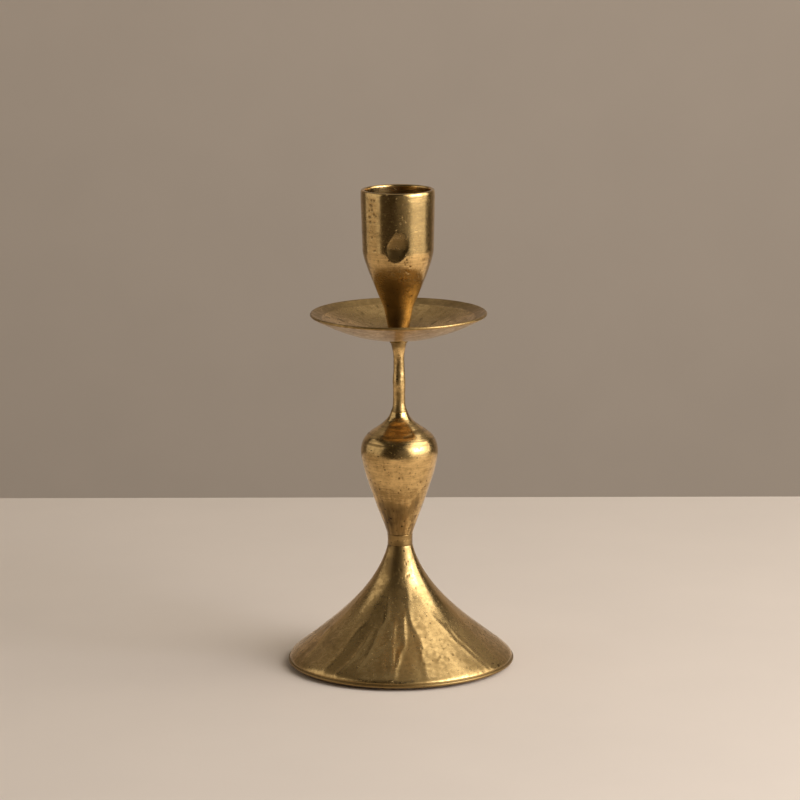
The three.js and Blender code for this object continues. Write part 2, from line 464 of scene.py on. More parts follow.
def antique_brass(name, gloss, dull, streak, texture):
    """Antique brass, cast, spun or turned, then finished by hand with file and buff.

    Handling keeps the high places bright and leaves a brown patina in blotches and streaks between
    them. Small pits stay dark, because the buff can't reach their floors. Each piece's darkening
    attribute adds painted shade as well as real wear.

    Gloss is the roughness of clean metal and dull that of tarnished metal. Streak is how often the
    tool's marks repeat in a millimetre along each axis. Texture is the height of the grain in
    millimetres, and both are drawn coarser than real ones, which would be too fine to show.
    """
    finish = bpy.context.scene.candlestick_finish
    cloud_width = 8
    mottle_width = 1.6
    pit_depth = 0.05
    material, tree, shader = new_material(name)
    point = millimetres(tree)
    cloud = add_node(tree, NOISE, Vector=point, Scale=1 / cloud_width, Detail=5, Roughness=0.6)["Fac"]
    mottle = add_node(
        tree, NOISE, Vector=point, Scale=1 / mottle_width, Detail=6, Roughness=0.65
    )["Fac"]
    streaks = add_node(tree, NOISE, Vector=millimetres(tree, streak), Scale=1.0, Detail=4)["Fac"]
    # The mesh attribute read here carries real wear and painted shade from each piece's relief.
    tarnish_and_shade = add_node(tree, "ShaderNodeAttribute", {"attribute_name": "tarnish_and_shade"})["Fac"]

    patches = add_node(tree, RANGE, EASE, Value=cloud, From_Min=0.46, From_Max=0.62)[0]
    speckle = add_node(tree, RANGE, EASE, Value=mottle, From_Min=0.42, From_Max=0.6)[0]
    large = pit_spots(tree, point, spacing=2.6, radius=0.42, share=patches)
    small = pit_spots(tree, point, spacing=1.1, radius=0.2, share=speckle)
    pit = add_node(tree, MATHS, {"operation": "MAXIMUM"}, at0=large, at1=small)[0]

    amount = weighted(tree, (cloud, 0.35), (mottle, 0.35), (streaks, 0.3), (tarnish_and_shade, 0.2))
    # The setting moves the middle of the patina's range from 0.68, where little shows, to 0.32.
    centre = 0.68 - 0.36 * finish.patina
    patina = add_node(
        tree, RANGE, EASE, Value=amount, From_Min=centre - 0.13, From_Max=centre + 0.15, To_Max=0.9
    )[0]
    colour = add_node(
        tree, MIX, {"data_type": "RGBA"},
        Factor=patina, at6=[*finish.clean_brass, 1.0], at7=[*finish.aged_brass, 1.0],
    )[2]
    # Pits and that attribute darken the colour towards dark brown: dirt in pits, tarnished places and
    # painted shade.
    dirt_and_shade = weighted(tree, (pit, 0.8), (tarnish_and_shade, 0.35))
    dirt_and_shade_brown = linear("#2B1D0C")
    colour = add_node(
        tree, MIX, {"data_type": "RGBA"}, Factor=dirt_and_shade, at6=colour, at7=dirt_and_shade_brown
    )[2]
    tree.links.new(colour, shader.inputs["Base Color"])
    rough_share = weighted(tree, (patina, 0.7), (mottle, 0.3), (pit, 0.5), (tarnish_and_shade, 0.12))
    roughness = add_node(tree, RANGE, Value=rough_share, To_Min=gloss, To_Max=dull)[0]
    tree.links.new(roughness, shader.inputs["Roughness"])
    shader.inputs["Metallic"].default_value = 1.0
    shader.inputs["Coat Weight"].default_value = 0.15
    shader.inputs["Coat Roughness"].default_value = 0.2

    height = weighted(tree, (pit, -pit_depth), (mottle, texture), (streaks, 0.25 * texture))
    bump = add_node(tree, "ShaderNodeBump", Strength=1.0, Distance=MM, Height=height)[0]
    tree.links.new(bump, shader.inputs["Normal"])
    return material


def zinc_plate(name):
    """Steel hardware with bright zinc plate: grey, faintly spangled and dulled by handling."""
    spangle_width = 1.2
    spangle_height = 0.02
    material, tree, shader = new_material(name)
    cloud = add_node(tree, NOISE, Vector=millimetres(tree), Scale=1 / spangle_width, Detail=4)["Fac"]
    colour = add_node(
        tree, MIX, {"data_type": "RGBA"}, Factor=cloud, at6=linear("#A9ABA8"), at7=linear("#D2D3CF")
    )[2]
    tree.links.new(colour, shader.inputs["Base Color"])
    dull = add_node(
        tree, RANGE, EASE, Value=cloud, From_Min=0.3, From_Max=0.7, To_Min=0.3, To_Max=0.48
    )[0]
    tree.links.new(dull, shader.inputs["Roughness"])
    shader.inputs["Metallic"].default_value = 1.0
    bump = add_node(
        tree, "ShaderNodeBump", Strength=0.6, Distance=spangle_height * MM, Height=cloud
    )[0]
    tree.links.new(bump, shader.inputs["Normal"])
    return material


def shared(name, make, **settings):
    """The material of that name, made the first time it is asked for."""
    return bpy.data.materials.get(name) or make(name, **settings)


def polished_brass():
    """The knop and the cup: buffed on the lathe, with faint marks that run round them."""
    marks = (0.16, 0.16, 2.6)
    return shared(
        "buffed_cast_brass", antique_brass, gloss=0.14, dull=0.34, streak=marks, texture=0.014
    )


def dull_brass():
    """The foot and the pan: finished with a file and an old cloth, so the sheen is satin."""
    marks = (0.5, 0.5, 1.0)
    return shared(
        "satin_cast_brass", antique_brass, gloss=0.16, dull=0.44, streak=marks, texture=0.011
    )


def rod_brass():
    """The stem: rod turned by hand and wiped, so it is duller and its marks run round it."""
    marks = (0.3, 0.3, 2.0)
    return shared(
        "turned_brass_rod", antique_brass, gloss=0.22, dull=0.42, streak=marks, texture=0.016
    )


def hardware_steel():
    """The stud, nut and washers."""
    return shared("zinc_plated_steel", zinc_plate)


# ---------------------------------------------------------------- the pieces


def foot_outline():
    """Undercut lip, flare and neck outside; hole, flat ceiling and hollow flare inside."""
    rest_inner = 33.4
    rest_outer = 35.6
    ceiling = 28.4
    top = FOOT_HEIGHT
    undercut = [39.4, 1.05]
    groove = [39.45, 2.5]
    return joined(
        spaced(0.6, line([rest_inner, 0], [rest_outer, 0], undercut)),
        spaced(0.1, curve(12, undercut, [FOOT_RADIUS, 1.2], [FOOT_RADIUS, 1.65])),
        spaced(0.1, curve(12, [FOOT_RADIUS, 1.65], [FOOT_RADIUS, 2.15], [39.6, 2.25])),
        spaced(0.1, curve(6, [39.6, 2.25], [39.35, 2.35], groove)),
        spaced(0.42, curve(200, groove, [39.45, 5.6], [9.4, 21.5], [4.4, top - 0.15])),
        spaced(0.1, curve(4, [4.4, top - 0.15], [4.38, top], [4.2, top])),
        spaced(0.5, line([4.2, top], [STUD_HOLE, top])),
        spaced(1.5, line([STUD_HOLE, top], [STUD_HOLE, ceiling])),
        spaced(1.0, line([STUD_HOLE, ceiling], [9.7, ceiling])),
        spaced(1.4, curve(120, [9.7, ceiling], [21.5, 13], [32.4, 7.2], [33.7, 4.2])),
        spaced(0.6, line([33.7, 4.2], [rest_inner, 0])),
    )


def foot_relief(field):
    """Soft folds that run down the flare and meander, with finer ridges, pits and a file's grain.

    The lift is the pleat height times the pleats, folds and ridges, plus lumps and grain, less pits.
    Tarnish lies in the valleys and in the pits and smears round the neck, and the upper flare is
    rubbed clean. Painted shade darkens the side away from the light, towards the front, on the neck,
    in the valleys and on the upper flare, where the rubbing spares it, and darkens the lip and its
    underside. All of it ends inside the stud's hole.
    """
    relief = bpy.context.scene.candlestick_relief
    down_the_hole = 75
    above_lip = 3.6
    slope = field.along
    outside = slope < down_the_hole
    wander = 0.06 * lattice(field.angle, slope, 10, 9, 11)
    wander = wander + 0.03 * lattice(field.angle, slope, 40, 5, 10)
    angle = field.angle + wander
    folds = lattice(angle, slope, 26, 24, 13)
    ridges = 1 - 2 * np.abs(lattice(angle, slope, 74, 15, 12)) ** 0.8
    strong = eased(0.4 + 1.0 * lattice(field.angle, slope, 11, 14, 17))
    clear_of_lip = band(field.height, above_lip, BEYOND, 1.4)
    skirt = band(field.height, 4.0, 13, 10) * clear_of_lip
    # Each fold: degrees, lean, high end, low end, width and lift.
    front = [
        (-80, 3, 26, 8, 1.0, 0.5), (-87, -6, 19, 5, 0.9, 0.7), (-107, -6, 25, 9, 1.2, 0.85),
        (-56, 17, 24, 6, 1.3, 0.5), (-126, -8, 20, 6, 1.5, 0.6), (-68, 6, 15, 5, 0.8, 0.4),
        (-97, 2, 17, 5, 0.8, 0.65), (-117, -7, 16, 5, 0.9, 0.7), (-40, 7, 14, 4, 1.0, 0.45),
    ]
    others = scattered(19, 18, (-30, 215), (-9, 9), (15, 27), (4, 9), (0.9, 1.7), (0.2, 0.42))
    pleat = pleats(field, wander, [*front, *others]) * clear_of_lip
    pleat = pleat * (0.8 + 0.4 * lattice(angle, slope, 36, 6, 14))
    pleat = pleat + (0.3 * folds + 0.1 * ridges * strong) * skirt
    outer = band(field.height, 3.4, 40, 1.2) * outside
    grain = rough(angle, slope, 150, 3.0, 15, 3) * band(field.height, 2, 14, 12)
    lump = lattice(field.angle, slope, 12, 9, 16)
    scatter = scattered(22, 60, (-180, 180), (5, 40), (0.25, 0.42), (0.03, 0.08))
    cluster = scattered(24, 18, (-78, -46), (4.5, 15), (0.28, 0.45), (0.05, 0.1))
    below_neck = scattered(26, 9, (-100, -50), (32, 38), (0.25, 0.4), (0.05, 0.1))
    hollows = pits(field, np.vstack([scatter, cluster, below_neck]))
    lift = outer * (relief.pleat_height / MM * pleat + 0.006 * grain + 0.03 * lump + hollows)
    # Painted shade: 1 on the side away from the light, towards the front, 0 on the lit side.
    painted_shade_side = field.facing(-102)
    smears = rough(field.angle, slope, 9, 3, 18, 3)
    # Tarnished smears round the neck, plus painted shade on the side away from the light.
    neck = band(field.height, 37, 60, 6) * (1.1 * painted_shade_side**6 - 0.1 + 0.4 * smears)
    # Patina in the valleys between the folds, plus painted shade on the side away from the light.
    valleys = 0.1 + 0.2 * painted_shade_side - 0.5 * pleat - 0.2 * ridges * strong * skirt
    # Wear rubs the upper flare clean, except on the side away from the light, where the painted shade
    # stays.
    rubbed = -0.6 * band(field.height, 20, 36, 8) * (1 - painted_shade_side**6)
    # Painted shade on the lip and its underside.
    lip = 0.75 * band(field.height, -1, 2.6, 0.3)
    return lift, np.where(outside, neck + valleys + rubbed + lip + pit_dirt(hollows), 0)


def cup_outline():
    """Tapering foot, swelling bowl and rounded lip outside; bore, floor and blind hole inside."""
    floor = 23.1
    depth = 8.6
    top = CUP_HEIGHT
    kink = [5.2, 10]
    swell = [12.43, 30.7]
    bore = 11.5
    return joined(
        spaced(0.8, line([0, depth + TENON_HOLE * DRILL_POINT], [TENON_HOLE, depth], [TENON_HOLE, 0])),
        spaced(0.3, line([TENON_HOLE, 0], [3.25, 0])),
        spaced(0.1, curve(4, [3.25, 0], [3.4, 0], [3.42, 0.2])),
        spaced(0.25, curve(40, [3.42, 0.2], [4.1, 5.3], kink)),
        spaced(0.25, curve(120, kink, [6.35, 13.2], [12.3, 25.9], swell)),
        spaced(0.25, line(swell, [CUP_RADIUS, 48.5], [CUP_RADIUS, top - 1.3])),
        spaced(0.12, curve(20, [CUP_RADIUS, top - 1.3], [CUP_RADIUS, top - 0.15], [12.4, top])),
        spaced(0.15, line([12.4, top], [12.1, top])),
        spaced(0.12, curve(10, [12.1, top], [bore + 0.05, top], [bore, top - 0.7])),
        spaced(0.5, line([bore, top - 0.7], [bore, 31.1])),
        spaced(0.5, curve(30, [bore, 31.1], [11.2, 28], [9.4, 24.3])),
        spaced(0.3, curve(10, [9.4, 24.3], [8.8, floor], [7.8, floor])),
        spaced(0.8, line([7.8, floor], [0, floor])),
    )


def lesser(one, other, blend):
    """The smaller of two values, with the corner where they cross rounded off over the blend."""
    return 0.5 * (one + other - np.sqrt((one - other) ** 2 + blend**2))


def thumb_dent(field, degrees, top, length, depth):
    """A dent that slopes gently inwards from its peak and steeply out again at its round foot.

    Its depth is the lesser of the two slopes, less a cubic trough's walls. The peak stands to one
    side of the foot, and both the foot and the turn above it are arcs.
    """
    turning = 0.62 * length
    half_width = 4.3
    foot_arc = 4.5
    sideways = 1.3
    down = top - field.height
    across = field.across(degrees) - sideways * (1 - down / turning)
    gentle = depth * down / turning
    steep = depth * (length - down - across**2 / (2 * foot_arc)) / (length - turning)
    hollow = lesser(gentle, steep, 0.22) - depth * np.abs(across / half_width) ** 3
    return lesser(-hollow, 0 * hollow, 0.06)


def cup_relief(field):
    """Soft hammering all over, one thumb-shaped dent, and pits in a strip and a cluster.

    The lift is a faint random field, less the dent and the pits. Painted shade darkens the foot of
    the cup, most on the side away from the light. The foot of the dent is darker and the pits are
    tarnished. The hole and the bore are evenly tarnished. The outside runs from just above the bottom
    edge, over the lip, to just inside the bore.
    """
    relief = bpy.context.scene.candlestick_relief
    above_bottom = 14
    inside_bore = 68
    inside_tarnish = 0.5
    outside = field.between(above_bottom, inside_bore)
    faint = 0.07 * lattice(field.angle, field.along, 7, 11, 21)
    faint = faint + 0.02 * rough(field.angle, field.along, 14, 5.5, 22, 3)
    dent = thumb_dent(field, -92, 38.2, 11, relief.dent_depth / MM)
    strip = scattered(23, 16, (-142, -124), (31, 50), (0.35, 0.6), (0.05, 0.12))
    cluster = scattered(24, 9, (-86, -66), (21, 29), (0.3, 0.5), (0.04, 0.1))
    rest = scattered(25, 30, (-60, 200), (14, 48), (0.3, 0.55), (0.03, 0.1))
    hollows = pits(field, np.vstack([strip, cluster, rest]))
    lift = band(field.height, 12, 46, 4) * faint + dent + hollows
    # Painted shade: 1 on the side away from the light, towards the front, 0 on the lit side.
    painted_shade_side = field.facing(-106)
    cloud = rough(field.angle, field.along, 8, 3, 26, 3)
    # Painted shade round the foot of the cup, deepest on the side away from the light, unevenly clouded.
    foot_shade = band(field.height, -1, 17, 7) * (1.6 * painted_shade_side**8 - 0.3 + 0.25 * cloud)
    # The foot of the dent is darker.
    foot_of_dent = eased(-dent / 0.3) * band(field.height, 27, 35, 1.6)
    tarnish_and_shade = pit_dirt(hollows) + foot_shade + 0.5 * foot_of_dent
    return np.where(outside, lift, 0), np.where(outside, tarnish_and_shade, inside_tarnish)


def knop_outline():
    """Blind stud hole, flared foot, straight body, round shoulder, hollow neck, blind tenon hole."""
    stud_depth = 12.2
    tenon_depth = KNOP_HEIGHT - 11
    top = KNOP_HEIGHT
    widest = 29.5
    stud_point = [0, stud_depth + STUD_HOLE * DRILL_POINT]
    tenon_point = [0, tenon_depth - TENON_HOLE * DRILL_POINT]
    return joined(
        spaced(0.9, line(stud_point, [STUD_HOLE, stud_depth], [STUD_HOLE, 0])),
        spaced(0.5, line([STUD_HOLE, 0], [4.35, 0])),
        spaced(0.08, curve(4, [4.35, 0], [4.5, 0], [4.52, 0.18])),
        spaced(0.28, curve(40, [4.52, 0.18], [4.9, 2.1], [7.3, 8.1])),
        spaced(0.28, curve(80, [7.3, 8.1], [10.4, 16.1], [KNOP_RADIUS, 26.3], [KNOP_RADIUS, widest])),
        spaced(0.28, curve(120, [KNOP_RADIUS, widest], [KNOP_RADIUS, 38.3], [5, 37.2], [2.95, top - 0.1])),
        spaced(0.08, curve(4, [2.95, top - 0.1], [2.93, top], [2.84, top])),
        spaced(0.3, line([2.84, top], [TENON_HOLE, top])),
        spaced(0.9, line([TENON_HOLE, top], [TENON_HOLE, tenon_depth], tenon_point)),
    )


def knop_relief(field):
    """Soft lumps, faint turning marks on the shoulder, a short crease there and pits on the body.

    The lift is soft random fields and fine marks, less the crease and the pits. Tarnish runs in
    streaks up from the foot, smears the shoulder and lies in the pits. Painted shade darkens the foot,
    most on the side away from the light. The outside runs from the bottom edge to just inside the
    hole at the top.
    """
    bottom_edge = 17
    down_the_hole = 72
    outside = field.between(bottom_edge, down_the_hole)
    faint = 0.06 * lattice(field.angle, field.along, 6, 10, 31)
    faint = faint + 0.02 * rough(field.angle, field.along, 13, 5, 32, 3)
    faint = faint + 0.06 * rough(field.angle, field.along, 18, 3.4, 36, 2) * band(field.height, 6, 22, 5)
    marks = 0.035 * rough(field.angle, field.along, 6, 0.9, 37, 3) * band(field.height, 35, 41, 2)
    body = scattered(33, 70, (-180, 180), (6, 28), (0.28, 0.5), (0.03, 0.1))
    crease = [(-80 + 3.8 * k, 36.4 + 0.14 * k, 0.42, 0.1) for k in range(6)]
    hollows = pits(field, np.vstack([body, crease]))
    lift = band(field.height, 3, 40, 3) * faint + marks + hollows
    # Painted shade: 1 on the side away from the light, towards the front, 0 on the lit side.
    painted_shade_side = field.facing(-108)
    cloud = rough(field.angle, field.along, 8, 4, 34, 3)
    drips = rough(field.angle, field.along, 30, 6, 38, 3)
    # Tarnished streaks and clouds up from the foot, over painted shade deepest on the side away from the
    # light.
    foot = band(field.height, -1, 5, 17) * (1.7 * painted_shade_side**3 - 0.3 + 0.6 * cloud + 0.8 * drips)
    smears = np.clip(rough(field.angle, field.height, 5, 0.7, 35, 3), 0, 1)
    shoulder = band(field.height, 34.5, 40, 2.5) * (1.1 * smears - 0.1)
    tarnish_and_shade = pit_dirt(hollows) + foot + shoulder
    return np.where(outside, lift, 0), np.where(outside, tarnish_and_shade, 0)


def pan_outline():
    """Hole, flat seat, dished underside, round rim and dished top."""
    flat = 4.0
    slope = math.radians(27.7)
    edge = PAN_THICKNESS / 2
    rim = np.array([PAN_RADIUS - edge, 8.7])
    sweep = np.linspace(slope - math.pi / 2, slope + math.pi / 2, 15)
    arc = rim + edge * np.stack([np.cos(sweep), np.sin(sweep)], axis=1)

    def bend_at(end, height):
        return [end[0] - (end[1] - height) / math.tan(slope), height]

    return joined(
        spaced(0.5, line([TENON_HOLE, 0], [flat, 0])),
        spaced(0.42, curve(60, [flat, 0], bend_at(arc[0], 0), arc[0])),
        arc,
        spaced(0.42, curve(60, arc[-1], bend_at(arc[-1], PAN_THICKNESS), [flat, PAN_THICKNESS])),
        spaced(0.5, line([flat, PAN_THICKNESS], [TENON_HOLE, PAN_THICKNESS])),
        spaced(0.5, line([TENON_HOLE, PAN_THICKNESS], [TENON_HOLE, 0])),
    )


def pan_relief(field):
    """Faint waves left by spinning and planishing, and dark spots on the upper side.

    The two sides rise and fall together, so the lift is the wave above and minus the wave below.
    Painted shade gathers round the cup above, and the underside grows darker towards the rim. What
    counts as above starts on the upper side, about 4 mm in from the rim, and both the lift and the
    darkening step there.
    """
    upper_start = 35
    keep = band(field.radius, 8, 29, 3)
    wave = 0.09 * lattice(field.angle, field.radius, 9, 9, 41)
    wave = wave + 0.03 * rough(field.angle, field.radius, 22, 4, 42, 3)
    above = field.along > upper_start
    side = np.where(above, 1, -1)
    # Painted shade round the cup's foot, unevenly clouded.
    hub_shade = band(field.radius, -1, 8, 8) * (0.7 + 0.4 * rough(field.angle, field.radius, 7, 3, 43, 3))
    spots = scattered(44, 26, (-180, 180), (2, 8.4), (0.3, 0.6), (0.6, 1.0))
    stains = np.where(above, -pits(field, spots), 0)
    # Darker towards the rim on the underside.
    under = 0.6 * band(field.radius, 18, BEYOND, 6) - 0.1
    return side * keep * wave, stains + np.where(above, hub_shade, under)


def thread(field, pitch, low, high, depth):
    """A right-hand screw thread: a triangle wave of the height over the pitch, less the turns."""
    run_out = 0.3
    phase = (field.height / pitch - field.angle / FULL_TURN) % 1
    groove = np.abs(2 * phase - 1)
    return -depth * groove * band(field.height, low, high, run_out)


def stem_outline():
    """Lower tenon, stem that swells at mid height, head, and upper tenon."""
    into_knop = 10.0
    into_cup = 7.6
    low = -into_knop
    top = STEM_LENGTH + PAN_COLLAR_HEIGHT + PAN_THICKNESS + into_cup
    ease = 0.4
    r = TENON_RADIUS
    body = through(
        160, [2.9, 0.12], [2.41, 1.2], [2.12, 3.4], [2.16, 7.2], [2.22, 11.2],
        [1.95, 15.2], [1.86, 18.2], [2.06, 21.2], [2.8, STEM_LENGTH - 0.12],
    )
    return joined(
        spaced(0.4, line([0, low], [r - ease, low], [r, low + ease])),
        spaced(0.1, line([r, low + ease], [r, 0])),
        spaced(0.3, line([r, 0], [2.78, 0])),
        spaced(0.06, curve(4, [2.78, 0], [2.9, 0], [2.9, 0.12])),
        spaced(0.16, body),
        spaced(0.06, curve(4, [2.8, STEM_LENGTH - 0.12], [2.8, STEM_LENGTH], [2.68, STEM_LENGTH])),
        spaced(0.3, line([2.68, STEM_LENGTH], [r, STEM_LENGTH])),
        spaced(0.1, line([r, STEM_LENGTH], [r, top - ease])),
        spaced(0.4, line([r, top - ease], [r - ease, top], [0, top])),
    )


def stem_relief(field):
    """Small flats and unevenness left by hand on the stem, and M4 threads on its tenons.

    Tarnish gathers at both ends of the stem, with smears between them.
    """
    thread_depth = 0.38
    stem = band(field.height, 1.2, STEM_LENGTH - 1.2, 0.8)
    marks = 0.07 * lattice(field.angle, field.height, 3, 3.4, 51)
    marks = marks + 0.03 * rough(field.angle, field.height, 6, 1.6, 52, 3)
    tenon = np.abs(field.radius - TENON_RADIUS) < 0.02
    lower = thread(field, M4_PITCH, -9.4, -0.9, thread_depth)
    upper = thread(field, M4_PITCH, STEM_LENGTH + 1.2, STEM_LENGTH + 9.6, thread_depth)
    threads = np.where(field.height < 0, lower, np.where(field.height > STEM_LENGTH, upper, 0))
    ends = 1 - band(field.height, 3, STEM_LENGTH - 3, 2.5)
    dark = 0.7 * ends + 0.5 * np.clip(rough(field.angle, field.height, 5, 4, 53, 3), 0, 1)
    return stem * marks + tenon * threads, dark


def neck_collar_outline():
    """A faintly waisted ring with eased edges."""
    top = NECK_COLLAR_HEIGHT
    return joined(
        spaced(0.4, line([STUD_HOLE, 0], [4.2, 0])),
        spaced(0.08, curve(4, [4.2, 0], [4.4, 0], [4.42, 0.2])),
        spaced(0.15, curve(20, [4.42, 0.2], [4.3, 1.9], [4.48, top - 0.2])),
        spaced(0.08, curve(4, [4.48, top - 0.2], [4.48, top], [4.28, top])),
        spaced(0.4, line([4.28, top], [STUD_HOLE, top])),
        spaced(0.8, line([STUD_HOLE, top], [STUD_HOLE, 0])),
    )


def pan_collar_outline():
    """A small ring with rounded outer edges."""
    r = PAN_COLLAR_RADIUS
    top = PAN_COLLAR_HEIGHT
    return joined(
        spaced(0.3, line([TENON_HOLE, 0], [r - 0.3, 0])),
        spaced(0.06, curve(6, [r - 0.3, 0], [r, 0], [r, 0.35])),
        spaced(0.2, line([r, 0.35], [r, top - 0.35])),
        spaced(0.06, curve(6, [r, top - 0.35], [r, top], [r - 0.3, top])),
        spaced(0.3, line([r - 0.3, top], [TENON_HOLE, top])),
        spaced(0.5, line([TENON_HOLE, top], [TENON_HOLE, 0])),
    )


def collar_relief(field):
    """Slight unevenness of a filed ring, dark at its joints."""
    outside_bore = 3.1
    uneven = rough(field.angle, field.height, 7, 1.5, 61, 2)
    outside = field.radius > outside_bore
    return np.where(outside, 0.03 * uneven, 0), np.where(outside, 0.7 + 0.4 * uneven, 0)


def stud_outline():
    """A rod with chamfered ends."""
    r = STUD_RADIUS
    ease = 0.4
    return joined(
        spaced(0.5, line([0, 0], [r - ease, 0], [r, ease])),
        spaced(0.11, line([r, ease], [r, STUD_LENGTH - ease])),
        spaced(0.5, line([r, STUD_LENGTH - ease], [r - ease, STUD_LENGTH], [0, STUD_LENGTH])),
    )


def stud_relief(field):
    """One M5 thread from end to end."""
    thread_depth = 0.42
    plain_end = 0.5
    rod = np.abs(field.radius - STUD_RADIUS) < 0.01
    groove = thread(field, M5_PITCH, plain_end, STUD_LENGTH - plain_end, thread_depth)
    return np.where(rod, groove, 0), 0


def washer_outline(outer, hole, height, edge):
    """A flat ring with its outer edges eased."""
    return joined(
        spaced(0.8, line([hole, 0], [outer - edge, 0])),
        spaced(0.06, curve(5, [outer - edge, 0], [outer, 0], [outer, edge])),
        spaced(0.4, line([outer, edge], [outer, height - edge])),
        spaced(0.06, curve(5, [outer, height - edge], [outer, height], [outer - edge, height])),
        spaced(0.8, line([outer - edge, height], [hole, height])),
        spaced(0.4, line([hole, height], [hole, 0])),
    )


def hexagon_nut(across_flats, height, hole, seat):
    """A hexagon nut as a closed grid of angle by outline.

    The outline runs round the nut's section. Its outer radius is the hexagon's, flats / 2 divided by
    the cosine of the angle from the nearest flat, and no more than a cone that chamfers both ends.
    """
    sides = 96
    chamfer = 0.9
    wall_start = 1.3
    cone_inset = 0.12
    cone_slope = 1.7
    bore_ease = 0.4
    angle = np.arange(sides) * FULL_TURN / sides
    from_flat = (angle % (math.pi / 3)) - math.pi / 6
    hexagon = across_flats / 2 / np.cos(from_flat)
    lower = np.linspace(0, chamfer, 10)
    wall_levels = np.linspace(wall_start, height - wall_start, 4)
    upper = np.linspace(height - chamfer, height, 10)
    levels = np.concatenate([lower, wall_levels, upper])
    from_end = np.minimum(levels, height - levels)[:, None]
    cone = across_flats / 2 - cone_inset + from_end * cone_slope
    wall = np.minimum(hexagon[None, :], cone)
    mouth = hole + bore_ease
    bore = np.array([[mouth, height], [hole, height - bore_ease], [hole, bore_ease], [mouth, 0]])
    radius = np.vstack([wall, np.repeat(bore[:, :1], sides, axis=1)])
    level = np.concatenate([levels, bore[:, 1]])[:, None] + 0 * radius
    grid = np.stack([radius * np.cos(angle), radius * np.sin(angle), level + seat], axis=2)
    index = np.arange(grid.shape[0] * sides).reshape(-1, sides)
    above = np.roll(index, -1, axis=0)
    quads = np.stack([index, np.roll(index, -1, axis=1), np.roll(above, -1, axis=1), above], axis=2)
    return grid.reshape(-1, 3), quads.reshape(-1, 4).tolist(), np.zeros(grid.size // 3)


def split_ring(inner, outer, height, gap_degrees, seat):
    """A spring washer: a square section carried round a turn less its gap, with closed ends."""
    stations = 72
    half_gap = math.radians(gap_degrees) / 2
    angle = np.linspace(half_gap, FULL_TURN - half_gap, stations)[:, None]
    ease = 0.12
    section = np.array(
        [
            [inner + ease, 0], [outer - ease, 0], [outer, ease], [outer, height - ease],
            [outer - ease, height], [inner + ease, height], [inner, height - ease], [inner, ease],
        ]
    )
    radius = section[:, 0][None, :]
    level = section[:, 1][None, :] + 0 * angle + seat
    grid = np.stack([radius * np.cos(angle), radius * np.sin(angle), level], axis=2)
    ring = section.shape[0]
    index = np.arange(stations * ring).reshape(stations, ring)
    beside = np.roll(index, -1, axis=1)
    quads = np.stack([index[:-1], index[1:], beside[1:], beside[:-1]], axis=2)
    faces = quads.reshape(-1, 4).tolist()
    faces.append(index[0].tolist())
    faces.append(index[-1][::-1].tolist())
    return grid.reshape(-1, 3), faces, np.zeros(grid.size // 3)


# ---------------------------------------------------------------- operators


class CANDLESTICK_OT_foot(bpy.types.Operator):
    """Build the pleated cast foot"""

    bl_idname = "candlestick.foot"
    bl_label = "Foot"

    def execute(self, context):
        shape = turned(foot_outline(), FOOT_SIDES, 0, foot_relief)
        add_piece("cast_foot", *shape, dull_brass(), "cast_brass", "foot")
        return {"FINISHED"}


class CANDLESTICK_OT_knop(bpy.types.Operator):
    """Build the knop and the collar under it"""

    bl_idname = "candlestick.knop"
    bl_label = "Knop and neck collar"

    def execute(self, context):
        shape = turned(knop_outline(), KNOP_SIDES, KNOP_SEAT, knop_relief)
        add_piece("cast_knop", *shape, polished_brass(), "cast_brass", "knop")
        shape = turned(neck_collar_outline(), NECK_SIDES, NECK_SEAT, collar_relief)
        add_piece("turned_neck_collar", *shape, polished_brass(), "cast_brass", "neck_collar")
        return {"FINISHED"}


class CANDLESTICK_OT_stem(bpy.types.Operator):
    """Build the stem and the collar on it"""

    bl_idname = "candlestick.stem"
    bl_label = "Stem and pan collar"

    def execute(self, context):
        shape = turned(stem_outline(), ROD_SIDES, STEM_SEAT, stem_relief)
        add_piece("drawn_stem", *shape, rod_brass(), "brass_rod", "stem")
        shape = turned(pan_collar_outline(), ROD_SIDES, PAN_COLLAR_SEAT, collar_relief)
        add_piece("turned_pan_collar", *shape, rod_brass(), "brass_rod", "pan_collar")
        return {"FINISHED"}


class CANDLESTICK_OT_pan(bpy.types.Operator):
    """Build the drip pan"""

    bl_idname = "candlestick.pan"
    bl_label = "Drip pan"

    def execute(self, context):
        shape = turned(pan_outline(), PAN_SIDES, PAN_SEAT, pan_relief)
        add_piece("spun_drip_pan", *shape, dull_brass(), "cast_brass", "drip_pan")
        return {"FINISHED"}


class CANDLESTICK_OT_cup(bpy.types.Operator):
    """Build the candle cup"""

    bl_idname = "candlestick.cup"
    bl_label = "Candle cup"

    def execute(self, context):
        shape = turned(cup_outline(), CUP_SIDES, CUP_SEAT, cup_relief)
        add_piece("cast_candle_cup", *shape, polished_brass(), "cast_brass", "candle_cup")
        return {"FINISHED"}


